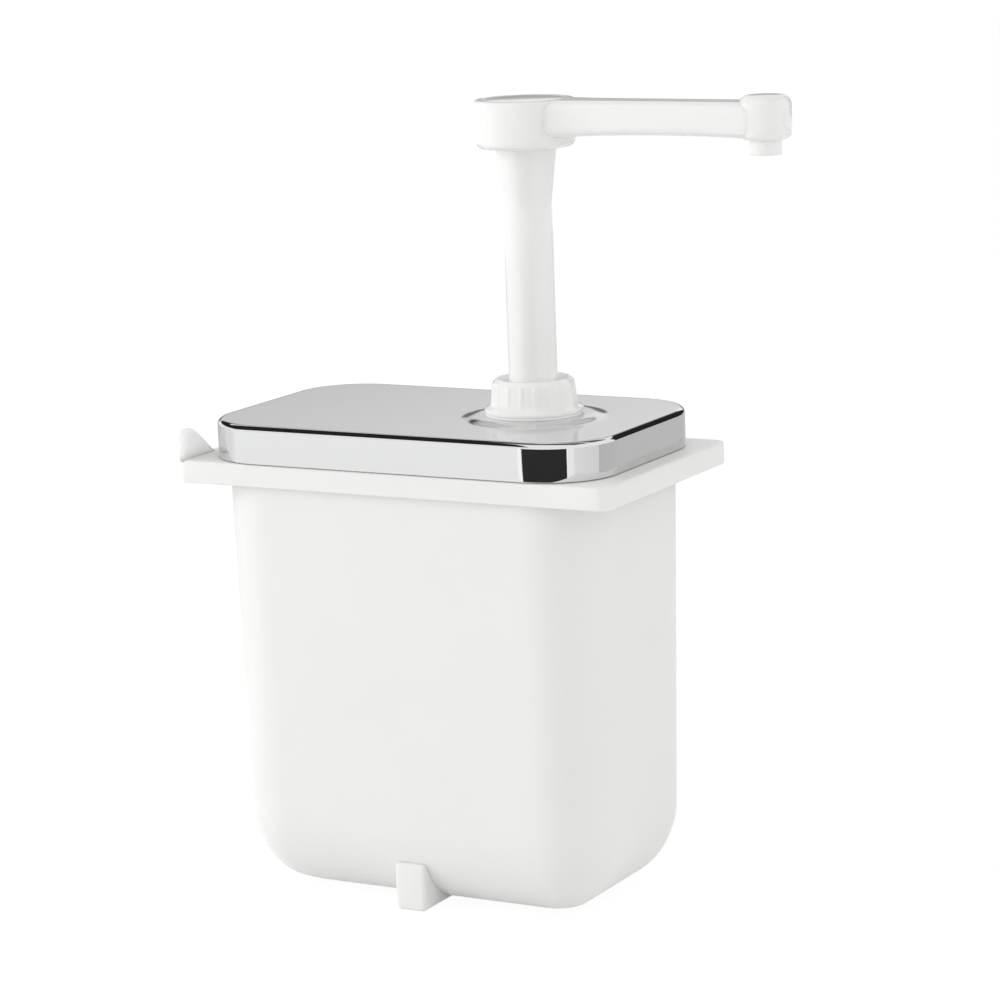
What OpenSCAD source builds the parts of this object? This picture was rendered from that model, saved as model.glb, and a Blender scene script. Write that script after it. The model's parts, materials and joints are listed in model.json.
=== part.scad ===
// Sauce pump dispenser: a hanging plastic jar, a steel lid and a plunger pump with a swivelling spout.
// Millimetres. The origin is the centre of the jar's base, +Z is up and the spout points along +X.

/* [Jar] */
// Outside length of the jar at its rim
jar_l = 178; // [168:0.5:190]
// Outside depth of the jar at its rim
jar_d = 107; // [102:0.5:120]
// Height of the jar to the top of its rim
jar_h = 202; // [194:1:230]
// Thickness of the jar's wall and floor
wall = 3; // [2.5:0.25:4]
// Lean of each wall towards the base, in degrees
draft = 1.2; // [0.8:0.1:1.4]
// Radius of the jar's upright corners
corner_r = 28; // [25:1:31]
// How far the round edge of the base reaches in from the walls
base_in = 30; // [24:1:32]
// How far the round edge of the base reaches up the walls
base_up = 35; // [28:1:40]
// Width of the foot under each long side
foot_w = 14; // [10:1:24]

/* [Hanging flange] */
// Length over both ends of the flange
flange_l = 202; // [199:1:212]
// Height of the flange's turned-down lip
flange_h = 9.5; // [7:0.5:12]
// Radius of the flange's corners in plan
flange_r = 5; // [3:0.5:8]
// Height of the two horns on the flange's left end
horn_h = 13; // [8:0.5:14]

/* [Lid] */
// Height of the lid's skirt
lid_h = 16; // [14:0.5:20]
// Thickness of the lid's sheet
sheet = 1; // [0.8:0.1:1.2]
// Radius of the lid's corners in plan
lid_r = 28; // [25:0.5:30]
// Radius of the lid's upper edge
lid_edge_r = 2.5; // [2:0.25:4]
// Diameter of the boss round the pump
boss_d = 59; // [56:0.5:62]
// Height of that boss above the lid
boss_h = 1.5; // [1.2:0.1:2]

/* [Pump] */
// Distance of the pump's axis from the middle of the jar
pump_x = 40; // [32:1:46]
// Bore of the pump cylinder
bore_d = 26; // [25:0.5:27]
// Travel of the plunger, 30 millilitres with this bore
stroke = 56; // [40:1:58]
// Diameter of the plunger's stem
stem_d = 20; // [19:0.25:20]
// Diameter of the lock nut at its base
nut_d = 41; // [40:0.5:46]
// Number of grip ribs on the lock nut
nut_ribs = 18; // [12:1:24]
// Number of working coils in the return spring
coils = 7; // [5:1:8]
// Wire of the return spring
wire = 1.6; // [1.2:0.1:1.8]

/* [Spout head] */
// Height of the head's top above the lid
head_rise = 131; // [124:1:140]
// Distance from the pump's axis to the nozzle
reach = 107; // [92:1:120]
// Diameter of the hub
hub_d = 41; // [40:0.5:46]
// Width of the arm
arm_w = 20; // [18:0.5:22]
// Height of the arm at its tip
arm_h = 14.5; // [13.5:0.5:15]
// Diameter of the turret at the tip
tip_d = 21; // [19:0.5:24]
// Diameter of the nozzle
nozzle_d = 13; // [12:0.5:14]

/* [Hidden] */
$fn = 64;
// Facets round a shape that is blended by a hull
blend_fn = 32;
// Facets round the wide circle under the arm
arch_fn = 720;
// How far a cutter stands past what it cuts
over = 1;

// Fits, all as radial or face clearances
rest_gap = 0.05;
snug = 0.02;
run_fit = 0.05;
thread_gap = 0.1;
journal_gap = 0.1;
ball_gap = 0.1;
end_gap = 0.2;
lid_hole_gap = 0.3;
stem_gap = 0.6;
seal_spare = 0.1;
groove_spare = 0.4;

// Jar
base_corner_r = 10;
foot_in = 0.8;
foot_y = jar_d / 2 - lean(base_up) - foot_in;
foot_depth = 28;
foot_h = 20;
rim_cut = 0.8;
loft_steps = 12;
slice = 0.01;
flange_gap = 0.3;
lip_t = 3;
horn_t = 4;
horn_top = 8.5;
horn_slope = 16.5;

// Lid, from the rim up
lid_gap = 2;
lid_l = jar_l + 2 * (lid_gap + sheet);
lid_d = jar_d + 2 * (lid_gap + sheet);
lid_under = jar_h + rest_gap;
lid_top = lid_under + sheet;
lid_bottom = lid_top - lid_h;
boss_run = 4;
boss_top = lid_top + boss_h;
boss_under = boss_top - sheet;
flange_top = lid_bottom - flange_gap;
flange_d = lid_d;

// Clamp round the lid
gasket_t = 2;
gasket_past = 1;
collar_t = 3.5;
collar_w = 7;
washer_t = 1;
neck_wall = 2;
barrel_wall = 2.5;
neck_d = bore_d + 2 * neck_wall;
barrel_d = bore_d + 2 * barrel_wall;
collar_d = neck_d + 2 * collar_w;
gasket_d = collar_d + 2 * gasket_past;
hole_d = neck_d + 2 * lid_hole_gap;
gasket_z = boss_under - gasket_t;
collar_z = gasket_z - collar_t;
nut_z = boss_top + washer_t;
neck_in_nut = 6.5;
neck_top = nut_z + neck_in_nut;

// Guide bush and wiper
bush_flange_t = 2;
bush_l = 22;
bush_bottom = neck_top - bush_l;
wiper_h = 3;
wiper_w = 2;
wiper_d = stem_d + 2 * wiper_w;

// Lock nut, heights from its own base
nut_h = 14;
nut_skirt_h = 1.6;
nut_waist_h = 3.4;
nut_waist_in = 2.75;
nut_top_in = 3.75;
nut_rim = 2.25;
nut_chamfer = 1.5;
nut_waist_d = nut_d - 2 * nut_waist_in;
nut_top_d = nut_d - 2 * nut_top_in;
nut_recess_d = nut_top_d - 2 * nut_rim;
nut_lip_z = neck_in_nut + bush_flange_t + end_gap;
nut_lip_t = 2.3;
nut_bore_d = neck_d + 2 * thread_gap;
nut_mouth_d = stem_d + 2 * stem_gap;
rib_d = 2;
rib_sunk = 0.6;
rib_short = 2;

// Plunger, from the guide bush down
piston_rest = 2;
piston_top = bush_bottom - piston_rest;
piston_head_h = 14;
piston_sleeve_h = 10;
piston_bottom = piston_top - piston_head_h - piston_sleeve_h;
piston_d = bore_d - 2 * run_fit;
sleeve_wall = 2;
sleeve_d = stem_d + 2 * sleeve_wall;
seal_section = 2.2;
seal_groove_w = seal_section + groove_spare;
seal_groove_d = bore_d - 2 * seal_section - 2 * seal_spare;
seal_mean_d = bore_d - seal_section - 2 * snug;
ring_inset = 4;
ring_pitch = 6;
ring_low = piston_bottom + ring_inset;
ring_high = ring_low + ring_pitch;

// Outlet valve in the piston
outlet_ball_d = 8;
outlet_hole_d = 6;
outlet_room_d = 11;
outlet_floor = 1.5;
outlet_seat_z = piston_bottom + outlet_floor;
outlet_cage_d = 16;
outlet_cage_t = 2.5;
outlet_cage_up = 12;
outlet_cage_z = piston_bottom + outlet_cage_up;
outlet_flow_d = 3;
outlet_flow_on = 8;
stem_bottom = outlet_cage_z + outlet_cage_t;

// Return spring and foot valve
spring_slack = 1.25;
spring_min = (coils + 3) * wire * spring_slack;
spring_gap = 0.6;
spring_side = 2.25;
spring_l = stroke + spring_min;
spring_seat = piston_bottom - spring_l;
spring_d = bore_d - 2 * spring_side;
plug_h = 12;
valve_flange_h = 6;
valve_boss_h = 16;
valve_boss_d = 18;
inlet_ball_d = 10;
inlet_hole_d = 7;
inlet_room_d = 13.5;
inlet_drop = 15;
inlet_seat_z = spring_seat - inlet_drop;
inlet_cage_d = 17;
inlet_cage_t = 3;
inlet_flow_d = 3.4;
inlet_flow_on = 9.6;
socket_floor = 2;
tube_d = 12;
tube_bore_d = 8;
tube_lift = 5;
tube_top = spring_seat - plug_h - valve_flange_h - socket_floor;
tube_bottom = wall + tube_lift;
tube_slot_w = 3;
tube_slot_h = 4;

// Head
head_top = lid_top + head_rise;
hub_h = 19.5;
hub_floor = 7.5;
hub_edge_r = 3;
fine_edge_r = 1;
hub_bottom = head_top - hub_h;
cap_t = 3.5;
cap_d = 34;
cap_plug_h = 1.5;
chamber_d = 26;
chamber_floor = hub_bottom + hub_floor;
chamber_top = head_top - cap_t;
root_l = 27;
root_w = 18;
root_in = 2;
arm_root_h = 16;
arm_arch_r = 860;
arm_edge_r = 4;
arm_z = head_top - arm_h / 2;
arm_bore_d = 9;
tip_x = pump_x + reach;
tip_rise = 2.5;
tip_drop = 0.5;
tip_edge_r = 4;
tip_land = 0.8;
tip_low_r = (tip_d - nozzle_d) / 2 - tip_land;
tip_top = head_top + tip_rise;
tip_bottom = head_top - arm_h - tip_drop;
nozzle_drop = 21;
nozzle_bottom = head_top - nozzle_drop;
nozzle_bore_d = 7;
spigot_step = 1;
spigot_d = nozzle_d - 2 * spigot_step;
spigot_h = 3.5;
plug_depth = 5;

// Stem above the guide
flare_w = 2.75;
flare_d = stem_d + 2 * flare_w;
flare_h = 21;
stem_bore_d = 12;
stem_past = 4;
journal_d = 18;
shoulder_z = hub_bottom - end_gap;
stem_top = chamber_floor + stem_past;
hub_bore_d = journal_d + 2 * journal_gap;
oring_section = 1.8;
oring_up = 3.5;
oring_z = hub_bottom + oring_up;
oring_groove_d = 14.5;
oring_groove_w = oring_section + groove_spare;
clip_float = 0.45;
clip_z = chamber_floor + clip_float;
clip_t = 1.1;
clip_groove_d = 15.6;
clip_d = 21.5;
clip_mouth = 7;

function lean(z) = (jar_h - z) * tan(draft);

// Round-cornered plate on the XY plane
module plate(l, d, r, h, fn = $fn) {
    linear_extrude(h) {
        square([l - 2 * r, d], center = true);
        square([l, d - 2 * r], center = true);
        for (x = [-1, 1], y = [-1, 1])
            translate([x * (l / 2 - r), y * (d / 2 - r)])
                circle(r, $fn = fn);
    }
}

// Half section of a block of radius r and height h, with its outer edge rounded below and above
module half_section(r, h, low_r, high_r) {
    translate([0, low_r]) square([r, h - low_r - high_r]);
    translate([0, h - high_r]) square([r - high_r, high_r]);
    translate([r - high_r, h - high_r]) circle(high_r);
    if (low_r > 0) {
        square([r - low_r, low_r]);
        translate([r - low_r, low_r]) circle(low_r);
    }
}

// Plate with a round upper edge, put together from four corners, four sides and a middle
module soft_plate(l, d, r, h, edge) {
    in_x = l / 2 - r;
    in_y = d / 2 - r;
    translate([-in_x, -in_y, 0])
        cube([2 * in_x, 2 * in_y, h]);
    for (turn = [0, 180]) rotate(turn) {
        translate([in_x, in_y, 0])
            rotate_extrude(angle = 90) half_section(r, h, 0, edge);
        translate([-in_x, in_y, 0])
            rotate(90) rotate_extrude(angle = 90) half_section(r, h, 0, edge);
        translate([-in_x, in_y, 0])
            rotate([90, 0, 90]) linear_extrude(2 * in_x) half_section(r, h, 0, edge);
        translate([in_x, in_y, 0])
            rotate([90, 0, 0]) linear_extrude(2 * in_y) half_section(r, h, 0, edge);
    }
}

// Flat ring with its lower face at z = 0
module ring(outer_d, inner_d, h) {
    difference() {
        cylinder(d = outer_d, h = h);
        translate([0, 0, -over])
            cylinder(d = inner_d, h = h + 2 * over);
    }
}

// Sealing ring of round section
module oring(mean_d, section) {
    rotate_extrude()
        translate([mean_d / 2, 0]) circle(d = section);
}

// Puts its children on the pump's axis at height z
module on_axis(z) {
    translate([pump_x, 0, z]) children();
}

// Hole, 45 degree seat and room of a ball valve, cut upwards from the hole's mouth at z = 0
module valve_room(hole_d, room_d, seat_z, top_z) {
    cone_h = (room_d - hole_d) / 2;
    translate([0, 0, -over])
        cylinder(d = hole_d, h = seat_z + 2 * over);
    translate([0, 0, seat_z])
        cylinder(d1 = hole_d, d2 = room_d, h = cone_h);
    translate([0, 0, seat_z + cone_h - snug])
        cylinder(d = room_d, h = top_z - seat_z - cone_h + snug);
}

// Height of a ball's centre on a 45 degree seat
function seated(ball_d, hole_d, seat_z) = seat_z - hole_d / 2 + ball_d / 2 * sqrt(2) + ball_gap;

// Round disc with a ring of four flow holes
module cage(d, t, hole_d, on_d) {
    difference() {
        cylinder(d = d, h = t);
        for (a = [45 : 90 : 315]) rotate(a)
            translate([on_d / 2, 0, -over]) cylinder(d = hole_d, h = t + 2 * over);
    }
}

// Plan of the jar, drawn in by some distance on all sides with its corners kept concentric
module jar_section(drawn_in) {
    r = max(corner_r - drawn_in, base_corner_r);
    plate(jar_l - 2 * drawn_in, jar_d - 2 * drawn_in, r, slice, blend_fn);
}

// Leaning block of the jar, its outside or, inset by the wall, its inside: a loft through its plans,
// close together up the round edge of the base, then straight to the rim, whose edge is cut off
module jar_block(inset, top, cut = 0) {
    run = base_in - inset;
    rise = base_up - inset;
    hull() {
        for (i = [0 : loft_steps]) {
            a = 90 * i / loft_steps;
            z = inset + rise * (1 - cos(a));
            translate([0, 0, z])
                jar_section(lean(z) + inset + run * (1 - sin(a)));
        }
        translate([0, 0, top - cut - slice])
            jar_section(lean(top - cut) + inset);
        translate([0, 0, top - slice])
            jar_section(lean(top) + inset + cut);
    }
}

module flange() {
    difference() {
        translate([0, 0, flange_top - flange_h])
            plate(flange_l, flange_d, flange_r, flange_h);
        translate([0, 0, flange_top - flange_h - over])
            plate(flange_l - 2 * lip_t, flange_d - 2 * lip_t, flange_r - lip_t / 2,
                  flange_h - lip_t + over);
    }
}

// Raised corner of the flange's left end, sloping down towards the middle
module horn() {
    out_y = flange_d / 2;
    intersection() {
        translate([-flange_l / 2, 0, 0])
            rotate([90, 0, 90]) linear_extrude(horn_t)
                polygon([[out_y, flange_top - over], [out_y, flange_top + horn_h],
                         [out_y - horn_top, flange_top + horn_h],
                         [out_y - horn_top - horn_slope, flange_top],
                         [out_y - horn_top - horn_slope, flange_top - over]]);
        translate([0, 0, flange_top - over])
            plate(flange_l, flange_d, flange_r, horn_h + over);
    }
}

module foot() {
    translate([-foot_w / 2, foot_y - foot_depth, 0])
        cube([foot_w, foot_depth, foot_h]);
}

module jar() {
    color([0.93, 0.93, 0.91])
    difference() {
        union() {
            jar_block(0, jar_h, rim_cut);
            flange();
            for (s = [0, 1]) mirror([0, s, 0]) {
                horn();
                foot();
            }
        }
        jar_block(wall, jar_h + over);
    }
}

module lid() {
    color([0.78, 0.79, 0.8])
    difference() {
        union() {
            translate([0, 0, lid_bottom])
                soft_plate(lid_l, lid_d, lid_r, lid_h, lid_edge_r);
            on_axis(lid_top - snug)
                cylinder(d1 = boss_d, d2 = boss_d - 2 * boss_run, h = boss_h + snug);
        }
        translate([0, 0, lid_bottom - over])
            soft_plate(lid_l - 2 * sheet, lid_d - 2 * sheet, lid_r - sheet, lid_h - sheet + over,
                       lid_edge_r - sheet);
        on_axis(lid_under - snug)
            cylinder(d1 = boss_d - 2 * sheet, d2 = boss_d - 2 * sheet - 2 * boss_run, h = boss_h + snug);
        on_axis(lid_under)
            cylinder(d = hole_d, h = boss_h + sheet + over);
    }
}

module pump_cylinder() {
    barrel_z = spring_seat - plug_h;
    color([0.95, 0.95, 0.93])
    difference() {
        union() {
            on_axis(barrel_z) cylinder(d = barrel_d, h = collar_z - barrel_z);
            on_axis(collar_z) cylinder(d = collar_d, h = collar_t);
            on_axis(gasket_z) cylinder(d = neck_d, h = neck_top - gasket_z);
        }
        on_axis(barrel_z - over) cylinder(d = bore_d, h = neck_top - barrel_z + 2 * over);
    }
}

module cylinder_gasket() {
    color([0.3, 0.3, 0.3])
    on_axis(gasket_z) ring(gasket_d, hole_d, gasket_t);
}

module nut_washer() {
    color([0.95, 0.95, 0.93])
    on_axis(boss_top) ring(nut_d, hole_d, washer_t);
}

module guide_bush() {
    color([0.9, 0.9, 0.88])
    difference() {
        union() {
            on_axis(bush_bottom) cylinder(d = bore_d - 2 * snug, h = bush_l);
            on_axis(neck_top) cylinder(d = neck_d, h = bush_flange_t);
        }
        on_axis(bush_bottom - over)
            cylinder(d = stem_d + 2 * run_fit, h = bush_l + bush_flange_t + 2 * over);
        on_axis(neck_top + bush_flange_t - wiper_h)
            cylinder(d = wiper_d + 2 * snug, h = wiper_h + over);
    }
}

module stem_wiper() {
    color([0.25, 0.25, 0.26])
    on_axis(neck_top + bush_flange_t - wiper_h) ring(wiper_d, stem_d + 2 * run_fit, wiper_h);
}

module lock_nut() {
    lip_top = nut_lip_z + nut_lip_t;
    color([0.96, 0.96, 0.94])
    on_axis(nut_z) {
        rotate_extrude()
            polygon([[nut_bore_d / 2, 0], [nut_d / 2, 0], [nut_d / 2, nut_skirt_h],
                     [nut_waist_d / 2, nut_waist_h], [nut_top_d / 2, nut_h - nut_chamfer],
                     [nut_top_d / 2 - nut_chamfer, nut_h], [nut_recess_d / 2, nut_h],
                     [nut_recess_d / 2, lip_top], [nut_mouth_d / 2, lip_top],
                     [nut_mouth_d / 2, nut_lip_z], [nut_bore_d / 2, nut_lip_z]]);
        for (i = [0 : nut_ribs - 1]) rotate(i * 360 / nut_ribs)
            translate([nut_top_d / 2 - rib_sunk, 0, nut_skirt_h])
                cylinder(d = rib_d, h = nut_h - nut_skirt_h - rib_short);
    }
}

module valve_body() {
    barrel_z = spring_seat - plug_h;
    flange_z = barrel_z - valve_flange_h;
    boss_z = flange_z - valve_boss_h;
    color([0.93, 0.93, 0.91])
    difference() {
        union() {
            on_axis(barrel_z) cylinder(d = bore_d - 2 * snug, h = plug_h);
            on_axis(flange_z) cylinder(d = barrel_d, h = valve_flange_h);
            on_axis(boss_z) cylinder(d = valve_boss_d, h = valve_boss_h);
        }
        on_axis(boss_z - over) cylinder(d = tube_d + 2 * snug, h = tube_top - boss_z + over);
        on_axis(tube_top)
            valve_room(inlet_hole_d, inlet_room_d, inlet_seat_z - tube_top, spring_seat - tube_top);
        on_axis(spring_seat - inlet_cage_t)
            cylinder(d = inlet_cage_d + 2 * snug, h = inlet_cage_t + over);
        on_axis(spring_seat - plug_h / 2 - seal_groove_w / 2)
            ring(bore_d + over, seal_groove_d, seal_groove_w);
    }
}

module valve_oring() {
    color([0.2, 0.2, 0.21])
    on_axis(spring_seat - plug_h / 2) oring(seal_mean_d, seal_section);
}

module inlet_ball() {
    color([0.75, 0.76, 0.78])
    on_axis(seated(inlet_ball_d, inlet_hole_d, inlet_seat_z)) sphere(d = inlet_ball_d);
}

module inlet_cage() {
    color([0.93, 0.93, 0.91])
    on_axis(spring_seat - inlet_cage_t) cage(inlet_cage_d, inlet_cage_t, inlet_flow_d, inlet_flow_on);
}

module dip_tube() {
    color([0.95, 0.95, 0.94])
    difference() {
        on_axis(tube_bottom) cylinder(d = tube_d, h = tube_top - tube_bottom);
        on_axis(tube_bottom - over) cylinder(d = tube_bore_d, h = tube_top - tube_bottom + 2 * over);
        on_axis(tube_bottom) for (a = [0, 90]) rotate(a)
            cube([tube_d + over, tube_slot_w, 2 * tube_slot_h], center = true);
    }
}

// Return spring: one tube along a helix whose first and last turns are closed up
spring_turns = coils + 2;
spring_sides = 8;
turn_steps = 24;
closed_pitch = wire + spring_gap;
spring_run = spring_l - rest_gap - wire - 2 * closed_pitch;
function spring_z(t) =
    t < 1 ? t * closed_pitch
    : t > spring_turns - 1 ? closed_pitch + spring_run + (t - spring_turns + 1) * closed_pitch
    : closed_pitch + spring_run * (t - 1) / coils;
function spring_point(t) =
    [spring_d / 2 * cos(360 * t), spring_d / 2 * sin(360 * t), wire / 2 + spring_z(t)]
    - [wire / 2 * cos(360 * t), wire / 2 * sin(360 * t), 0];
spring_line = [for (i = [0 : spring_turns * turn_steps]) spring_point(i / turn_steps)];
spring_self_gap = min([for (i = [0 : len(spring_line) - 1])
    for (j = [i + turn_steps / 2 : len(spring_line) - 1]) norm(spring_line[i] - spring_line[j])]) - wire;
echo(spring_self_gap = spring_self_gap);

module return_spring() {
    rings = len(spring_line);
    skin = [for (i = [0 : rings - 1]) for (k = [0 : spring_sides - 1])
        let (turn = 360 * i / turn_steps, a = 360 * k / spring_sides)
        spring_line[i] + wire / 2 * [cos(a) * cos(turn), cos(a) * sin(turn), sin(a)]];
    sides = [for (i = [0 : rings - 2]) for (k = [0 : spring_sides - 1])
        let (next = (k + 1) % spring_sides, row = i * spring_sides)
        [row + k, row + next, row + spring_sides + next, row + spring_sides + k]];
    first_cap = [for (k = [spring_sides - 1 : -1 : 0]) k];
    last_cap = [for (k = [0 : spring_sides - 1]) (rings - 1) * spring_sides + k];
    color([0.7, 0.71, 0.73])
    on_axis(spring_seat)
        polyhedron(skin, concat([first_cap], sides, [last_cap]));
}

module stem_tube() {
    straight_top = shoulder_z - flare_h;
    color([0.96, 0.96, 0.94])
    difference() {
        union() {
            on_axis(stem_bottom) cylinder(d = stem_d, h = straight_top - stem_bottom);
            on_axis(straight_top) cylinder(d1 = stem_d, d2 = flare_d, h = flare_h);
            on_axis(shoulder_z) cylinder(d = journal_d, h = stem_top - shoulder_z);
        }
        on_axis(stem_bottom - over) cylinder(d = stem_bore_d, h = stem_top - stem_bottom + 2 * over);
        on_axis(oring_z - oring_groove_w / 2) ring(journal_d + over, oring_groove_d, oring_groove_w);
        on_axis(clip_z - run_fit) ring(journal_d + over, clip_groove_d, clip_t + 2 * run_fit);
    }
}

module piston() {
    color([0.94, 0.94, 0.92])
    difference() {
        union() {
            on_axis(piston_bottom) cylinder(d = piston_d, h = piston_head_h);
            on_axis(piston_bottom + piston_head_h) cylinder(d = sleeve_d, h = piston_sleeve_h);
        }
        on_axis(piston_bottom)
            valve_room(outlet_hole_d, outlet_room_d, outlet_seat_z - piston_bottom,
                       outlet_cage_z - piston_bottom + over);
        on_axis(outlet_cage_z) cylinder(d = outlet_cage_d + 2 * snug, h = outlet_cage_t + over);
        on_axis(stem_bottom) cylinder(d = stem_d + 2 * snug, h = piston_top - stem_bottom + over);
        for (z = [ring_low, ring_high])
            on_axis(z - seal_groove_w / 2) ring(bore_d + over, seal_groove_d, seal_groove_w);
    }
}

module upper_piston_ring() {
    color([0.2, 0.2, 0.21])
    on_axis(ring_high) oring(seal_mean_d, seal_section);
}

module lower_piston_ring() {
    color([0.2, 0.2, 0.21])
    on_axis(ring_low) oring(seal_mean_d, seal_section);
}

module outlet_ball() {
    color([0.75, 0.76, 0.78])
    on_axis(seated(outlet_ball_d, outlet_hole_d, outlet_seat_z)) sphere(d = outlet_ball_d);
}

module outlet_cage() {
    color([0.93, 0.93, 0.91])
    on_axis(outlet_cage_z) cage(outlet_cage_d, outlet_cage_t, outlet_flow_d, outlet_flow_on);
}

module head_oring() {
    color([0.2, 0.2, 0.21])
    on_axis(oring_z) oring(hub_bore_d - oring_section - 2 * snug, oring_section);
}

module head_clip() {
    color([0.72, 0.73, 0.75])
    on_axis(clip_z) difference() {
        ring(clip_d, clip_groove_d + 2 * snug, clip_t);
        translate([-clip_d, -clip_mouth / 2, -over]) cube([clip_d, clip_mouth, clip_t + 2 * over]);
    }
}

// Web that narrows from the hub into the arm
module arm_root() {
    wide = hub_d / 2 - root_in;
    linear_extrude(hub_h - hub_edge_r - fine_edge_r)
        polygon([[0, wide], [0, -wide], [root_l, -root_w / 2], [root_l, root_w / 2]]);
}

// Round-edged arm below z = 0 whose underside is an arc from the root's depth to the tip's
module arm() {
    chord = [reach, arm_root_h - arm_h];
    half = norm(chord) / 2;
    down = [chord.y, -chord.x] / (2 * half) * sqrt(arm_arch_r * arm_arch_r - half * half);
    difference() {
        translate([0, 0, -arm_root_h / 2])
            rotate([90, 0, 90]) plate(arm_w, arm_root_h, arm_edge_r, reach);
        translate([reach / 2 + down.x, arm_w, down.y - (arm_root_h + arm_h) / 2])
            rotate([90, 0, 0]) cylinder(r = arm_arch_r, h = 2 * arm_w, $fn = arch_fn);
    }
}

// Round end of the arm, drawn in below to the nozzle
module turret() {
    translate([tip_x, 0, tip_bottom])
        rotate_extrude() half_section(tip_d / 2, tip_top - tip_bottom, tip_low_r, tip_edge_r);
}

module spout_head() {
    color([0.96, 0.96, 0.95])
    difference() {
        union() {
            on_axis(hub_bottom)
                rotate_extrude() half_section(hub_d / 2, hub_h, hub_edge_r, fine_edge_r);
            on_axis(hub_bottom + hub_edge_r) arm_root();
            on_axis(head_top) arm();
            turret();
        }
        on_axis(hub_bottom - over) cylinder(d = hub_bore_d, h = hub_h);
        on_axis(chamber_floor) cylinder(d = chamber_d, h = chamber_top - chamber_floor + over);
        on_axis(chamber_top) cylinder(d = cap_d, h = cap_t + over);
        on_axis(arm_z) rotate([0, 90, 0]) cylinder(d = arm_bore_d, h = reach + tip_d);
        translate([tip_x, 0, tip_bottom - over]) cylinder(d = spigot_d, h = spigot_h + over);
        translate([tip_x, 0, tip_bottom - over]) cylinder(d = nozzle_bore_d, h = arm_z - tip_bottom + over);
    }
}

module head_cap() {
    color([0.93, 0.93, 0.92])
    union() {
        on_axis(chamber_top) cylinder(d = cap_d - 2 * snug, h = cap_t);
        on_axis(chamber_top - cap_plug_h) cylinder(d = chamber_d - 2 * snug, h = cap_plug_h);
    }
}

module nozzle_tip() {
    color([0.95, 0.95, 0.94])
    difference() {
        union() {
            translate([tip_x, 0, nozzle_bottom]) cylinder(d = nozzle_d, h = tip_bottom - nozzle_bottom);
            translate([tip_x, 0, tip_bottom]) cylinder(d = spigot_d - 2 * snug, h = spigot_h);
        }
        translate([tip_x, 0, nozzle_bottom - over])
            cylinder(d = nozzle_bore_d, h = tip_bottom - nozzle_bottom + spigot_h + 2 * over);
    }
}

module spout_plug() {
    color([0.95, 0.95, 0.94])
    intersection() {
        translate([tip_x + tip_d / 2 - plug_depth, 0, arm_z])
            rotate([0, 90, 0]) cylinder(d = arm_bore_d - 2 * snug, h = tip_d);
        turret();
    }
}

jar();
lid();
pump_cylinder();
cylinder_gasket();
nut_washer();
guide_bush();
stem_wiper();
lock_nut();
valve_body();
valve_oring();
inlet_ball();
inlet_cage();
dip_tube();
return_spring();
stem_tube();
piston();
upper_piston_ring();
lower_piston_ring();
outlet_ball();
outlet_cage();
head_oring();
head_clip();
spout_head();
head_cap();
nozzle_tip();
spout_plug();
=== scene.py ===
# %% [markdown]
# # A sauce pump dispenser
#
# The object is a milky plastic jar that hangs by a flange, with a steel lid on it and a white
# plunger pump through the lid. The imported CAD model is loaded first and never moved. It could be
# shown as it is, but its round faces are made of flat strips, so the pieces that show are drawn
# again here as smooth surfaces of the same size, and each takes the place of its CAD node.

# %% Load the frame
import json

import bmesh
import bpy
import numpy as np
from mathutils import Matrix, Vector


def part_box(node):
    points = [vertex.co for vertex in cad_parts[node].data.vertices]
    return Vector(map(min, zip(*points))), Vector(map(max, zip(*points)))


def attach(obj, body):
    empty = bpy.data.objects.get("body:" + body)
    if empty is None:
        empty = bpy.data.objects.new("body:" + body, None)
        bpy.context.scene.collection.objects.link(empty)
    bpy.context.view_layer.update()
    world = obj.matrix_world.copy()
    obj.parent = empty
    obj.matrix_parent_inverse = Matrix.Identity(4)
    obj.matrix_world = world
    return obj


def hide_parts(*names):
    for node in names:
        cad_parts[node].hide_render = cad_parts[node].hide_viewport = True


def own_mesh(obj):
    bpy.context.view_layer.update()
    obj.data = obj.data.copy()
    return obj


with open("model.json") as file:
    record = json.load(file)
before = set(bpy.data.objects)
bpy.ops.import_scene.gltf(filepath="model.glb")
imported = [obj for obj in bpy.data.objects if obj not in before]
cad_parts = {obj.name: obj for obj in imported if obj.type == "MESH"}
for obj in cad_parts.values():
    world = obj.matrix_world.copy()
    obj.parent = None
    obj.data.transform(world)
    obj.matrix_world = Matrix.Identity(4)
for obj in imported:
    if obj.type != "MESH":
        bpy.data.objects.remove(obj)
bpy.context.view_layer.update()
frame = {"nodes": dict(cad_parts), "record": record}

# %% [markdown]
# ## The camera
#
# The camera could be placed by eye. Here its place comes from a fit to the edges of the lid and
# the sides of the jar: it looks down by about 11 degrees from the front right, from 1.5 m away
# with a long lens, and leans a little to one side.

# %% Place the camera
VIEW_TURN = np.radians(28.91)
VIEW_RISE = np.radians(11.08)
VIEW_LEAN = np.radians(-2.01)
VIEW_DISTANCE = 1.5073
VIEW_TARGET = np.array([0.02229, 0.0, 0.1668])
LENS_IN_FRAMES = 3.6149
SENSOR = 36.0


def view_axes(turn, rise, lean):
    """Right, up and back of a camera that is turned about Z, raised, and leaned about its own axis.
    Back points from the target to the camera, and right and up are turned by lean in their plane."""
    back = np.array([np.sin(turn) * np.cos(rise), -np.cos(turn) * np.cos(rise), np.sin(rise)])
    level = np.array([np.cos(turn), np.sin(turn), 0.0])
    upright = np.cross(back, level)
    right = np.cos(lean) * level + np.sin(lean) * upright
    up = np.cos(lean) * upright - np.sin(lean) * level
    return right, up, back


def add_object(name, data):
    """New object that shows some data, linked to the scene."""
    made = bpy.data.objects.new(name, data)
    bpy.context.scene.collection.objects.link(made)
    return made


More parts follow.
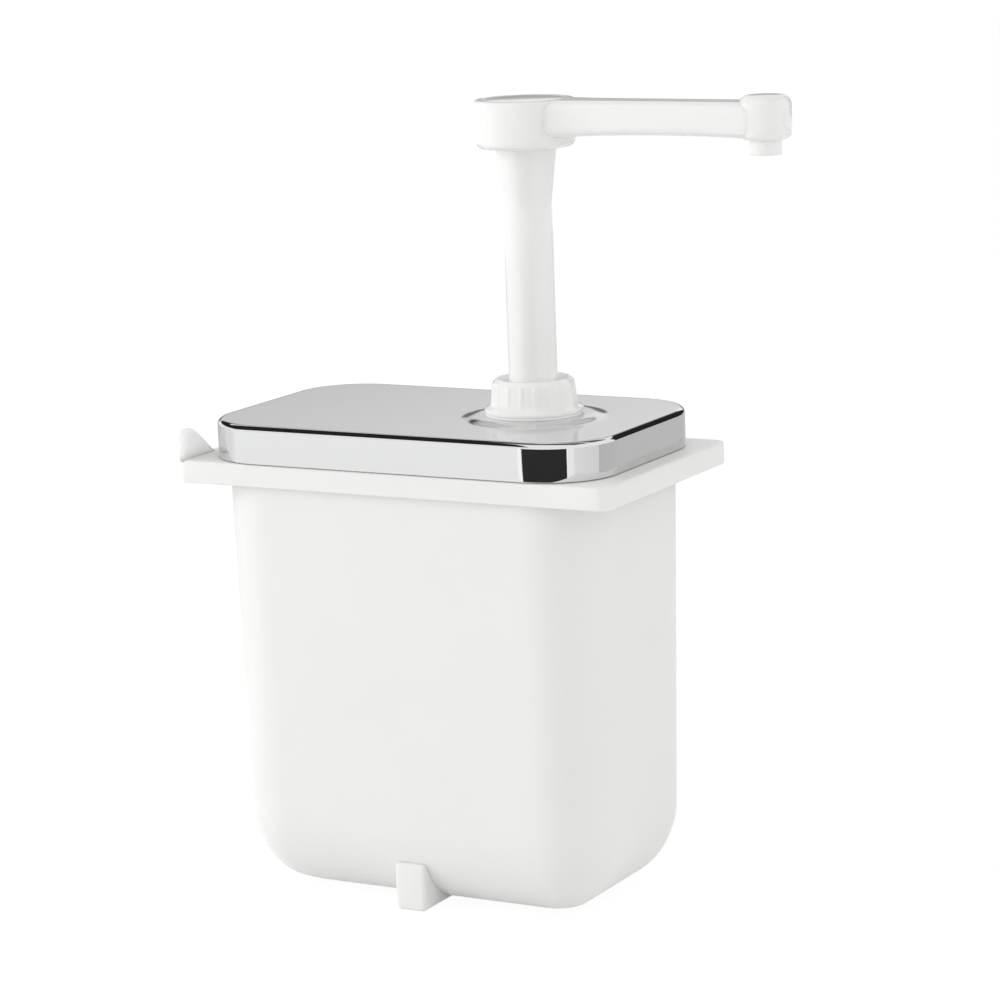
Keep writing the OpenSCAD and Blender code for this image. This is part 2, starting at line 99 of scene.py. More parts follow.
def stand(axes, position):
    """Matrix of where an object stands: its three axes and its position are the matrix's columns."""
    place = np.eye(4)
    place[:3, :3] = np.column_stack(axes)
    place[:3, 3] = position
    return Matrix(place.tolist())


right, up, back = view_axes(VIEW_TURN, VIEW_RISE, VIEW_LEAN)
camera_at = VIEW_TARGET + VIEW_DISTANCE * back
camera = add_object("camera", bpy.data.cameras.new("camera"))
camera.data.sensor_width = SENSOR
camera.data.lens = SENSOR * LENS_IN_FRAMES
camera.matrix_world = stand([right, up, back], camera_at)
bpy.context.scene.camera = camera
print("camera at", camera_at)

# %% [markdown]
# ## Surfaces from arrays
#
# A shape here is a stack of closed rings: an array of rows, columns and coordinates. Loops over
# vertices would give the same meshes, but whole arrays are shorter and quicker.

# %% Rings and shells
def quads(rows, columns, loop):
    """Faces of a stack of rings: each face joins column j and j + 1 of row i to those of row i + 1.
    Columns close on themselves, and with loop the last row also joins the first."""
    i = np.arange(rows if loop else rows - 1)[:, None]
    j = np.arange(columns)[None, :]
    row, next_row = i * columns, (i + 1) % rows * columns
    next_j = (j + 1) % columns
    corners = [row + j, row + next_j, next_row + next_j, next_row + j]
    return np.stack(np.broadcast_arrays(*corners), axis=-1).reshape(-1, 4)


def enclosed(points, faces):
    """Volume inside a closed mesh: a sixth of the sum of the triple products of its triangles."""
    a, b, c, d = (points[faces[:, k]] for k in range(4))
    triple = np.einsum("ij,ij->i", a, np.cross(b, c)) + np.einsum("ij,ij->i", a, np.cross(c, d))
    return triple.sum() / 6


def shell(rings, loop=False):
    """Points and outward faces of one closed shell. Without loop, both end rings are drawn together
    at their middle, which closes them; the faces are turned round if the volume comes out negative."""
    if not loop:
        first = np.broadcast_to(rings[:1].mean(axis=1, keepdims=True), rings[:1].shape)
        last = np.broadcast_to(rings[-1:].mean(axis=1, keepdims=True), rings[-1:].shape)
        rings = np.concatenate([first, rings, last])
    points = rings.reshape(-1, 3)
    faces = quads(rings.shape[0], rings.shape[1], loop)
    return points, faces if enclosed(points, faces) > 0 else faces[:, ::-1]


print("faces of two rings of four points", len(quads(2, 4, False)))

# %% [markdown]
# A piece is made of one or more shells. Their points could be used as they are, but a pole is many
# points in one place and would show as a crease, so points that fall together are merged. Sizes are
# in millimetres until the mesh is made, because that is how such a part is drawn.

# %% Pieces
MM = 0.001
SHARP = np.radians(38)
MERGE = 1e-7


def piece(name, shells, material, body, *nodes):
    """One object from one or more closed shells, which rides on a body and stands for CAD nodes.
    Points closer than MERGE become one, and edges sharper than SHARP stay sharp."""
    starts = np.cumsum([0] + [len(points) for points, _ in shells])
    points = np.concatenate([points for points, _ in shells]) * MM
    faces = np.concatenate([faces + start for (_, faces), start in zip(shells, starts)])
    mesh = bpy.data.meshes.new(name)
    mesh.from_pydata(points.tolist(), [], faces.tolist())
    work = bmesh.new()
    work.from_mesh(mesh)
    bmesh.ops.remove_doubles(work, verts=work.verts, dist=MERGE)
    work.to_mesh(mesh)
    work.free()
    mesh.shade_smooth()
    mesh.set_sharp_from_angle(angle=SHARP)
    mesh.materials.append(material)
    made = add_object(name, mesh)
    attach(made, body)
    if nodes:
        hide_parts(*nodes)
    print(name, len(mesh.polygons), "faces")
    return made


# %% [markdown]
# Two outlines serve most of this object. A turned piece is a profile carried round an axis, and a
# moulded or pressed piece is a round-cornered rectangle carried up a profile. Sharp corners would
# catch no light, so profiles get small arcs at their corners.

# %% Profiles
ARC_STEPS = 6
ARC_POINTS = ARC_STEPS + 1


def rounded(corners, radii, steps=ARC_STEPS):
    """Profile with an arc at each corner. The arc's middle lies on the corner's bisector, and its
    points are spread evenly between the two points where the arc touches the straight sides."""
    corner = np.asarray(corners, float)
    radius = np.broadcast_to(np.asarray(radii, float), len(corner))[:, None]
    to_last = np.roll(corner, 1, axis=0) - corner
    to_next = np.roll(corner, -1, axis=0) - corner
    to_last /= np.linalg.norm(to_last, axis=1, keepdims=True)
    to_next /= np.linalg.norm(to_next, axis=1, keepdims=True)
    half = np.arccos(np.clip((to_last * to_next).sum(axis=1, keepdims=True), -1, 1)) / 2
    bisector = to_last + to_next
    bisector /= np.linalg.norm(bisector, axis=1, keepdims=True)
    middle = corner + bisector * radius / np.sin(half)
    start = corner + to_last * radius / np.tan(half) - middle
    end = corner + to_next * radius / np.tan(half) - middle
    sweep = (np.pi - 2 * half)[:, :, None]
    share = np.linspace(0, 1, steps + 1)[None, :, None]
    from_start = np.sin((1 - share) * sweep) * start[:, None]
    to_end = np.sin(share * sweep) * end[:, None]
    return (middle[:, None] + (from_start + to_end) / np.sin(sweep)).reshape(-1, 2)


def full_turn(columns):
    """Evenly spread angles of one turn, without its end."""
    return np.linspace(0, 2 * np.pi, columns, endpoint=False)


def turned(profile, x=0.0, columns=128):
    """Rings of a turned piece: each profile point, a radius and a height, is carried round an axis at x."""
    turn = full_turn(columns)
    radius, height = profile[:, :1], profile[:, 1:]
    level = np.broadcast_to(height, (len(profile), columns))
    return np.stack([x + radius * np.cos(turn), radius * np.sin(turn), level], axis=-1)


print("points at a corner of a profile", ARC_POINTS)

# %% [markdown]
# The round-cornered rectangle could be drawn anew for each height. Here its points are worked out once, as
# directions and as shares of its sides, so that whole stacks of rectangles come from three lists of sizes.

# %% Outlines
CORNER_STEPS = 12
SIDE_STEPS = 40


def outline_paths():
    """Directions and corner signs of a round-cornered rectangle's points. On an arc the direction makes a
    quarter turn and the arc's middle rests; on a side the middle slides to the next corner."""
    quarter = np.arange(4)[:, None]
    signs = np.array([[1, 1], [-1, 1], [-1, -1], [1, -1]], float)
    arc = np.linspace(0, 1, CORNER_STEPS, endpoint=False)[None, :]
    along = np.linspace(0, 1, SIDE_STEPS, endpoint=False)[None, :]
    turn = np.hstack([quarter + arc, quarter + 1 + 0 * along]).ravel() * np.pi / 2
    slide = np.hstack([0 * arc, along])[:, :, None]
    side = (1 - slide) * signs[:, None] + slide * np.roll(signs, -1, axis=0)[:, None]
    return turn, side.reshape(-1, 2)


OUTLINE_TURN, OUTLINE_SIDE = outline_paths()


def column(values):
    """One value or many as a column of numbers."""
    return np.atleast_1d(np.asarray(values, float))[:, None]


def outline(half_l, half_d, radius):
    """Round-cornered rectangles: the middle of the corner arc, which slides along the straight sides,
    plus the arc's radius along the outward direction. One row for each value of the three sizes."""
    half_l, half_d, radius = column(half_l), column(half_d), column(radius)
    across = OUTLINE_SIDE[:, 0] * (half_l - radius) + radius * np.cos(OUTLINE_TURN)
    deep = OUTLINE_SIDE[:, 1] * (half_d - radius) + radius * np.sin(OUTLINE_TURN)
    return np.stack(np.broadcast_arrays(across, deep), axis=-1)


def raised(plans, heights):
    """Rings of a piece that is carried upwards: each plan is lifted to its height."""
    level = np.broadcast_to(np.asarray(heights, float)[:, None, None], plans.shape[:2] + (1,))
    return np.concatenate([plans, level], axis=-1)


print("points of an outline", len(OUTLINE_TURN))

# %% [markdown]
# ## Finishes
#
# The real finishes are milky moulded plastic, smooth white plastic, steel sheet, rubber and
# polished steel. A flat colour would look like a toy, so each has a little cloudiness in its colour,
# an uneven gloss and a fine grain in its surface. Two effects are shared: moulded grain, for
# plastic and rubber, and drawn lines, for metal that was rolled or drawn. Each is a node group.

# %% Parts of an effect
def new_group(name, inputs, outputs):
    """Empty shader group with named sockets, its input node and its output node."""
    group = bpy.data.node_groups.new(name, "ShaderNodeTree")
    for label, kind, value in inputs:
        socket = group.interface.new_socket(label, in_out="INPUT", socket_type=kind)
        if value is not None:
            socket.default_value = value
    for label, kind in outputs:
        group.interface.new_socket(label, in_out="OUTPUT", socket_type=kind)
    return group, group.nodes.new("NodeGroupInput"), group.nodes.new("NodeGroupOutput")


def noise(tree, source, scale, detail):
    """Noise texture whose place comes from a group's input or another node's output."""
    node = tree.nodes.new("ShaderNodeTexNoise")
    node.inputs["Scale"].default_value = scale
    node.inputs["Detail"].default_value = detail
    tree.links.new(source, node.inputs["Vector"])
    return node


def blend_colours(tree, share, first, second):
    """Mix of two colour sockets by a share."""
    node = tree.nodes.new("ShaderNodeMix")
    node.data_type = "RGBA"
    tree.links.new(share, node.inputs["Factor"])
    tree.links.new(first, node.inputs["A"])
    tree.links.new(second, node.inputs["B"])
    return node.outputs["Result"]


def blend_values(tree, share, first, second):
    """Value between two sockets, by a share from 0 to 1."""
    node = tree.nodes.new("ShaderNodeMapRange")
    tree.links.new(share, node.inputs["Value"])
    tree.links.new(first, node.inputs["To Min"])
    tree.links.new(second, node.inputs["To Max"])
    return node.outputs["Result"]


def vary(group, share, given, result):
    """Colour and roughness of an effect: both run between the group's two given values by one share."""
    colour = blend_colours(group, share, given.outputs["Light Colour"], given.outputs["Deep Colour"])
    gloss = blend_values(group, share, given.outputs["Smooth"], given.outputs["Rough"])
    group.links.new(colour, result.inputs["Colour"])
    group.links.new(gloss, result.inputs["Roughness"])


# %% [markdown]
# Moulded plastic is cloudy over centimetres and grainy over less than a millimetre, so its group has two
# noises. Drawn or rolled metal has one, stretched along X into fine lines, which gives colour, gloss and
# relief at once.

# %% Shared effects
SURFACE_INPUTS = [
    ("Vector", "NodeSocketVector", None),
    ("Light Colour", "NodeSocketColor", (0.9, 0.9, 0.9, 1)),
    ("Deep Colour", "NodeSocketColor", (0.8, 0.8, 0.8, 1)),
    ("Smooth", "NodeSocketFloat", 0.3),
    ("Rough", "NodeSocketFloat", 0.4),
]
SURFACE_OUTPUTS = [
    ("Colour", "NodeSocketColor"),
    ("Roughness", "NodeSocketFloat"),
    ("Height", "NodeSocketFloat"),
]
CLOUD_SCALE, CLOUD_DETAIL = 22.0, 3
GRAIN_SCALE, GRAIN_DETAIL = 1400.0, 2
LINE_STRETCH, LINE_SCALE, LINE_DETAIL = (60.0, 3800.0, 3800.0), 1.0, 2

moulded_grain, given, result = new_group("moulded_grain", SURFACE_INPUTS, SURFACE_OUTPUTS)
cloud = noise(moulded_grain, given.outputs["Vector"], CLOUD_SCALE, CLOUD_DETAIL)
grain = noise(moulded_grain, given.outputs["Vector"], GRAIN_SCALE, GRAIN_DETAIL)
vary(moulded_grain, cloud.outputs["Fac"], given, result)
moulded_grain.links.new(grain.outputs["Fac"], result.inputs["Height"])

drawn_lines, given, result = new_group("drawn_lines", SURFACE_INPUTS, SURFACE_OUTPUTS)
stretch = drawn_lines.nodes.new("ShaderNodeMapping")
stretch.inputs["Scale"].default_value = LINE_STRETCH
drawn_lines.links.new(given.outputs["Vector"], stretch.inputs["Vector"])
lines = noise(drawn_lines, stretch.outputs["Vector"], LINE_SCALE, LINE_DETAIL)
vary(drawn_lines, lines.outputs["Fac"], given, result)
drawn_lines.links.new(lines.outputs["Fac"], result.inputs["Height"])
print("groups", [group.name for group in bpy.data.node_groups])

# %% [markdown]
# Each finish is one material: the shared effect feeds colour, gloss and a small bump, and what is the
# same all over, such as the metal's metallic value or the plastic's inner glow, is set on the shader.

# %% Finishes of this object
RELIEF = 0.2
JAR_COLOURS = ((0.91, 0.915, 0.89), (0.88, 0.885, 0.855))
JAR_GLOSS, JAR_BUMP = (0.34, 0.46), 0.03
PUMP_COLOURS = ((0.945, 0.945, 0.935), (0.925, 0.925, 0.91))
INNER_COLOURS = ((0.90, 0.90, 0.87), (0.86, 0.86, 0.83))
RUBBER_COLOURS = ((0.045, 0.045, 0.048), (0.025, 0.025, 0.027))
BALL_COLOURS = ((0.72, 0.73, 0.75), (0.68, 0.69, 0.71))
WIRE_COLOURS = ((0.6, 0.61, 0.63), (0.5, 0.51, 0.53))


def effect_node(tree, group, colours, gloss):
    """Node of a shared effect, with its light and deep colours and its least and greatest roughness."""
    node = tree.nodes.new("ShaderNodeGroup")
    node.node_tree = group
    node.inputs["Light Colour"].default_value = (*colours[0], 1)
    node.inputs["Deep Colour"].default_value = (*colours[1], 1)
    node.inputs["Smooth"].default_value = gloss[0]
    node.inputs["Rough"].default_value = gloss[1]
    return node


def finish(name, group, colours, gloss, bump, metallic=0.0, glow=0.0, reach=3.0):
    """Material of one finish: the group's colour, roughness and height on one principled shader. Colours are
    the light and the deep one, and gloss is the least and the greatest roughness. Glow is the share of light
    that goes into the plastic, and reach is how far it gets, in millimetres."""
    material = bpy.data.materials.new(name)
    material.use_nodes = True
    nodes, links = material.node_tree.nodes, material.node_tree.links
    shader = nodes["Principled BSDF"]
    shader.inputs["Metallic"].default_value = metallic
    shader.inputs["Subsurface Weight"].default_value = glow
    shader.inputs["Subsurface Radius"].default_value = (1, 1, 1)
    shader.inputs["Subsurface Scale"].default_value = reach * MM
    place = nodes.new("ShaderNodeTexCoord")
    effect = effect_node(material.node_tree, group, colours, gloss)
    relief = nodes.new("ShaderNodeBump")
    relief.inputs["Strength"].default_value = bump
    relief.inputs["Distance"].default_value = RELIEF * MM
    links.new(place.outputs["Object"], effect.inputs["Vector"])
    links.new(effect.outputs["Colour"], shader.inputs["Base Color"])
    links.new(effect.outputs["Roughness"], shader.inputs["Roughness"])
    links.new(effect.outputs["Height"], relief.inputs["Height"])
    links.new(relief.outputs["Normal"], shader.inputs["Normal"])
    return material


FINISHES = {
    "jar_plastic": finish("milky_plastic", moulded_grain, JAR_COLOURS, JAR_GLOSS, JAR_BUMP, glow=0.3),
    "pump_plastic": finish("white_plastic", moulded_grain, PUMP_COLOURS, (0.10, 0.15), 0.01, glow=0.1),
    "inner_plastic": finish("natural_plastic", moulded_grain, INNER_COLOURS, (0.38, 0.5), 0.04),
    "seal_rubber": finish("black_rubber", moulded_grain, RUBBER_COLOURS, (0.55, 0.75), 0.1),
    "ball_steel": finish("ball_steel", drawn_lines, BALL_COLOURS, (0.06, 0.1), 0.005, metallic=1.0),
    "spring_steel": finish("spring_wire", drawn_lines, WIRE_COLOURS, (0.2, 0.32), 0.03, metallic=1.0),
}
print("finishes", sorted(FINISHES))

# %% [markdown]
# The lid is one steel sheet with two finishes: its top is satin, and its edge and skirt are polished.
# Two materials would leave a hard line along the edge, so one material goes from the first finish to
# the second by height, just below the top.

# %% Lid finish
BOSS_H = 1.5
LID_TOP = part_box("lid")[1].z - BOSS_H * MM
TOP_COLOURS = ((0.75, 0.752, 0.755), (0.72, 0.722, 0.725))
TOP_GLOSS, TOP_BUMP = (0.10, 0.15), 0.008
SKIRT_COLOURS = ((0.76, 0.763, 0.766), (0.74, 0.743, 0.746))
SKIRT_GLOSS = (0.02, 0.05)
POLISHED_BELOW, SATIN_ABOVE = 0.5, 0.1


def lid_finish():
    """Satin above, polished below: both sets of values meet over the last tenths under the top."""
    material = finish("lid_steel", drawn_lines, TOP_COLOURS, TOP_GLOSS, TOP_BUMP, metallic=1.0)
    tree = material.node_tree
    nodes, links = tree.nodes, tree.links
    shader, place, satin = nodes["Principled BSDF"], nodes["Texture Coordinate"], nodes["Group"]
    polished = effect_node(tree, drawn_lines, SKIRT_COLOURS, SKIRT_GLOSS)
    height = nodes.new("ShaderNodeSeparateXYZ")
    share = nodes.new("ShaderNodeMapRange")
    share.inputs["From Min"].default_value = LID_TOP - POLISHED_BELOW * MM
    share.inputs["From Max"].default_value = LID_TOP - SATIN_ABOVE * MM
    links.new(place.outputs["Object"], polished.inputs["Vector"])
    links.new(place.outputs["Object"], height.inputs["Vector"])
    links.new(height.outputs["Z"], share.inputs["Value"])
    upper = share.outputs["Result"]
    colour = blend_colours(tree, upper, polished.outputs["Colour"], satin.outputs["Colour"])
    gloss = blend_values(tree, upper, polished.outputs["Roughness"], satin.outputs["Roughness"])
    links.new(colour, shader.inputs["Base Color"])
    links.new(gloss, shader.inputs["Roughness"])
    return material


FINISHES["lid_steel"] = lid_finish()
for part in frame["record"]["subparts"]:
    node = frame["nodes"][part["node"]]
    node.data.materials.clear()
    node.data.materials.append(FINISHES[part["material_slot"]])

# %% [markdown]
# ## The jar
#
# The jar is moulded in one piece: its walls lean in towards the base, so that it leaves the mould, its
# corners are round, and its base edge is a wide soft curve. It could be a box with bevels, but then the
# corners would not shrink towards the base as they do on a moulded jar. Here one outline is carried up the
# outside, round the rim and down the inside, drawn in step by step.

# %% Jar body
JAR_L, JAR_D, JAR_H = 178.0, 107.0, 202.0
WALL = 3.0
DRAFT = np.tan(np.radians(1.2))
CORNER_R, BASE_CORNER_R = 28.0, 10.0
BASE_IN, BASE_UP = 30.0, 35.0
RIM_R, RIM_STEPS = 1.2, 13
WALL_END = 4.0


def jar_plans(drawn_in):
    """Outlines of the jar, drawn in on all sides; the corners keep their middles until they are small."""
    return outline(JAR_L / 2 - drawn_in, JAR_D / 2 - drawn_in, np.maximum(CORNER_R - drawn_in, BASE_CORNER_R))


def jar_side(inset, steps=24):
    """Insets and heights from the base's flat up to the rim: a quarter of an ellipse, then the leaning
    wall, with a ring near each of its ends. The wall's lean at each height is added to the inset."""
    turn = np.linspace(0, np.pi / 2, steps)
    bowl_z = inset + (BASE_UP - inset) * (1 - np.cos(turn))
    bowl_in = inset + (BASE_IN - inset) * (1 - np.sin(turn))
    height = np.concatenate([bowl_z, [BASE_UP + WALL_END, JAR_H - RIM_R - WALL_END]])
    drawn = np.concatenate([bowl_in, [inset, inset]])
    return drawn + (JAR_H - height) * DRAFT, height


outside_in, outside_z = jar_side(0.0)
inside_in, inside_z = jar_side(WALL)
rim = np.linspace(0, np.pi, RIM_STEPS)
rim_in = WALL / 2 - WALL / 2 * np.cos(rim)
rim_z = JAR_H - RIM_R + RIM_R * np.sin(rim)
jar_in = np.concatenate([outside_in, rim_in, inside_in[::-1]])
jar_z = np.concatenate([outside_z, rim_z, inside_z[::-1]])
jar_shell = shell(raised(jar_plans(jar_in), jar_z))
print("jar rings", len(jar_z))

# %% [markdown]
# The flange is a ledge round the jar with a lip turned down along its edge, and the jar hangs from it
# in a well. It could be a plate, but the lip is what stiffens it and what the eye sees, so its section is
# carried round on its own square-cornered outline and dies into the wall.

# %% Flange
FLANGE_L, FLANGE_D, FLANGE_R = 202.0, 113.0, 5.0
FLANGE_TOP, FLANGE_H, LIP = 186.75, 9.5, 3.0
LIP_TOP_R, LIP_R, LIP_CORNER_R = 1.0, 0.8, 1.0
WEB_IN, SUNK = 4.0, 1.5

web_under = FLANGE_TOP - LIP
lip_under = FLANGE_TOP - FLANGE_H
lip_corners = [
    (WEB_IN, web_under),
    (WEB_IN, FLANGE_TOP),
    (0, FLANGE_TOP),
    (0, lip_under),
    (LIP, lip_under),
    (LIP, web_under),
]
lip_in, lip_z = rounded(lip_corners, [0, 0, LIP_TOP_R, LIP_R, LIP_R, LIP_R])[ARC_POINTS:].T
lip_corner_r = np.maximum(FLANGE_R - lip_in, LIP_CORNER_R)
lip_plans = outline(FLANGE_L / 2 - lip_in, FLANGE_D / 2 - lip_in, lip_corner_r)
in_wall = jar_plans(np.full(2, (JAR_H - FLANGE_TOP) * DRAFT + SUNK))
flange_plans = np.concatenate([in_wall[:1], lip_plans, in_wall[1:]])
flange_z = np.concatenate([[FLANGE_TOP], lip_z, [web_under]])
flange_shell = shell(raised(flange_plans, flange_z), loop=True)
print("flange rings", len(flange_z))

# %% [markdown]
# Two horns stand on the left end of the flange, and a foot is under each long side. Each is a
# round-cornered section carried along the depth of the jar. The horns stand free and are lit from behind,
# so light goes right through their plastic. They could share the jar's finish, but then the light would
# end at the jar's own surfaces inside them, so they are a piece of their own with longer light paths.

# %% Horns
HORN_H, HORN_T, HORN_TOP, HORN_SLOPE = 13.0, 4.0, 8.5, 16.5
HORN_IN, HORN_SUNK, HORN_FLAT = 0.05, 3.0, 1.0
HORN_R, HORN_LEAST_T, HORN_LEAST_RISE = 1.4, 0.3, 0.02
BEND_FROM, BEND_TO = 0.1, 0.975
CREST_DIP, CREST_WIDTH = 0.06, 0.12
HORN_GLOW, HORN_REACH = 1.0, 16.0
FULL_ROUND = 0.98


def carried_back(y, x_low, x_high, z_low, z_high, radius):
    """Rings of a bar along Y: at each place a round-cornered rectangle between the given sides, with
    corners that stay just short of a full round where it is thin."""
    half_x, half_z = (x_high - x_low) / 2, (z_high - z_low) / 2
    section = outline(half_x, half_z, np.minimum(radius, FULL_ROUND * np.minimum(half_x, half_z)))
    x = section[:, :, 0] + ((x_high + x_low) / 2)[:, None]
    z = section[:, :, 1] + ((z_high + z_low) / 2)[:, None]
    return np.stack([x, np.broadcast_to(y[:, None], x.shape), z], axis=-1)


def horn(side, slope_steps=24, bend_steps=12):
    """A horn: level at its outer end, then sloping down, with its outer end rounded like the flange and a
    soft crest where the slope begins. What would lie deeper than HORN_FLAT in the flange is raised to
    that level, which makes its bottom flat."""
    out_y = FLANGE_D / 2 - HORN_IN
    low_y = FLANGE_D / 2 - HORN_TOP - HORN_SLOPE
    bend_y = out_y - FLANGE_R
    on_slope = np.linspace(low_y, bend_y, slope_steps)
    on_bend = bend_y + FLANGE_R * np.linspace(BEND_FROM, BEND_TO, bend_steps)
    y = np.concatenate([on_slope, on_bend])
    bend = np.sqrt(FLANGE_R ** 2 - np.maximum(y - out_y + FLANGE_R, 0) ** 2)
    x_low = -FLANGE_L / 2 + HORN_IN + FLANGE_R - bend
    x_high = np.maximum(HORN_T - FLANGE_L / 2, x_low + HORN_LEAST_T)
    rise = np.clip((y - low_y) / HORN_SLOPE, HORN_LEAST_RISE, 1)
    crest = CREST_DIP * np.exp(-((rise - 1) / CREST_WIDTH) ** 2)
    z_low = np.full_like(y, FLANGE_TOP - HORN_SUNK)
    z_high = FLANGE_TOP + HORN_H * (rise - crest)
    rings = carried_back(side * y, x_low, x_high, z_low, z_high, HORN_R)
    rings[:, :, 2] = np.maximum(rings[:, :, 2], FLANGE_TOP - HORN_FLAT)
    return rings


horns = [shell(horn(side)) for side in (-1, 1)]
print("points of a horn", len(horns[0][0]))

# %% [markdown]
# The feet keep the jar level when it stands on a counter, because its base edge is so round. Each could be
# a plain block, but moulded blocks have soft ends, so the section is tucked in over its last millimetres.

# %% Feet and the whole jar
FOOT_W, FOOT_H, FOOT_DEPTH = 14.0, 20.0, 28.0
FOOT_END_R, FOOT_R, FOOT_INSET = 1.6, 1.8, 0.8
FOOT_LOW_TUCK = 0.6
FOOT_OUT = JAR_D / 2 - (JAR_H - BASE_UP) * DRAFT - FOOT_INSET


def foot(side, steps=7):
    """A foot: a block under the wall whose ends are rounded over their last millimetres. The tuck is how
    far the section draws in at each place, and the sole draws in less."""
    turn = np.linspace(0, np.pi / 2, steps)
    tuck = np.concatenate([FOOT_END_R * (1 - np.sin(turn)), FOOT_END_R * (1 - np.cos(turn))])
    back_end = FOOT_OUT - FOOT_DEPTH + FOOT_END_R * (1 - np.cos(turn))
    front_end = FOOT_OUT - FOOT_END_R + FOOT_END_R * np.sin(turn)
    y = np.concatenate([back_end, front_end])
    x_low, x_high = -FOOT_W / 2 + tuck, FOOT_W / 2 - tuck
    return carried_back(side * y, x_low, x_high, tuck * FOOT_LOW_TUCK, FOOT_H - tuck, FOOT_R)


feet = [shell(foot(side)) for side in (-1, 1)]
jar_shells = [jar_shell, flange_shell] + feet
jar_piece = piece("jar_moulding", jar_shells, FINISHES["jar_plastic"], "jar_body", "jar")
horn_plastic = finish(
    "horn_plastic", moulded_grain, JAR_COLOURS, JAR_GLOSS, JAR_BUMP, glow=HORN_GLOW, reach=HORN_REACH)
horn_piece = piece("horn_pair", horns, horn_plastic, "jar_body")

# %% [markdown]
# ## The lid
#
# The lid is pressed from one sheet: a flat top with a low round boss where the pump goes through, a
# rolled edge and a straight skirt. The boss is round and the edge is not, so the flat between them runs
# from a circle to the outline, along lines that leave the pump's axis. The press leaves a soft bend at the
# foot and at the top of the boss, so that its slope never shows as a hard band.

# %% Lid
PUMP_X = 40.0
LID_L, LID_D, LID_R = 184.0, 113.0, 28.0
SHEET, LID_EDGE_R, EDGE_STEPS = 1.0, 2.5, 15
LID_LEVEL, LID_LOW = 203.05, 187.05
BOSS_R, BOSS_RUN, BOSS_BEND_R = 29.5, 4.0, 11.0
LID_HOLE_R, HOLE_EDGE_R = 15.3, 0.2
BOSS_FLAT, EDGE_FLAT, BOSS_FAR = 2.8, 0.8, 20.0
HEM_R, HEM_FAR = 0.3, 6.0


def lid_plans(inset):
    """Outlines of the lid, drawn in on all sides with concentric corners."""
    return outline(LID_L / 2 - inset, LID_D / 2 - inset, LID_R - inset)


spread = lid_plans(np.array([LID_EDGE_R]))[0] - [PUMP_X, 0]
aim = np.arctan2(spread[:, 1], spread[:, 0])


def boss_plans(radii):
    """Circles round the pump's axis whose points lie in the directions of the outline's points."""
    radii = column(radii)
    return np.stack([PUMP_X + radii * np.cos(aim), radii * np.sin(aim)], axis=-1)


boss_level = LID_LEVEL + BOSS_H
boss_corners = [
    (LID_HOLE_R, LID_LEVEL),
    (LID_HOLE_R, boss_level),
    (BOSS_R - BOSS_RUN, boss_level),
    (BOSS_R, LID_LEVEL),
    (BOSS_R + BOSS_FAR, LID_LEVEL),
]
boss_top = rounded(boss_corners, [0, HOLE_EDGE_R, BOSS_BEND_R, BOSS_BEND_R, 0])[ARC_POINTS:-ARC_POINTS]
boss_top = np.concatenate([boss_top, [(BOSS_R + BOSS_FLAT, LID_LEVEL)]])
edge = np.linspace(0, np.pi / 2, EDGE_STEPS)
edge_in = np.concatenate([[LID_EDGE_R + EDGE_FLAT], LID_EDGE_R * (1 - np.sin(edge))])
edge_z = np.concatenate([[LID_LEVEL], LID_LEVEL - LID_EDGE_R * (1 - np.cos(edge))])
hem_corners = [(0, LID_LOW + HEM_FAR), (0, LID_LOW), (SHEET, LID_LOW), (SHEET, LID_LOW + HEM_FAR)]
hem = rounded(hem_corners, [0, HEM_R, HEM_R, 0])[ARC_STEPS:-ARC_STEPS]
under_in = SHEET + (LID_EDGE_R - SHEET) * (1 - np.sin(edge[::-1]))
under_z = LID_LEVEL - SHEET - (LID_EDGE_R - SHEET) * (1 - np.cos(edge[::-1]))
sheet_under = LID_LEVEL - SHEET
boss_under = np.array([
    (BOSS_R - SHEET, sheet_under),
    (BOSS_R - SHEET - BOSS_RUN, sheet_under + BOSS_H),
    (LID_HOLE_R, sheet_under + BOSS_H),
])
lid_rings = np.concatenate([
    raised(boss_plans(boss_top[:, 0]), boss_top[:, 1]),
    raised(lid_plans(edge_in), edge_z),
    raised(lid_plans(hem[:, 0]), hem[:, 1]),
    raised(lid_plans(under_in), under_z),
    raised(boss_plans(boss_under[:, 0]), boss_under[:, 1]),
])
lid_piece = piece("lid_sheet", [shell(lid_rings, loop=True)], FINISHES["lid_steel"], "lid_body", "lid")

# %% [markdown]
# ## The lock nut
#
# The nut clamps the pump to the lid and is turned by hand, so it has a wide base, a waist and a ring of
# grip ribs. The ribs could be separate rods, but on a moulded nut they flow into the body, so here the
# radius of the turned shape swells at each rib. A thin washer lies between the nut and the lid.

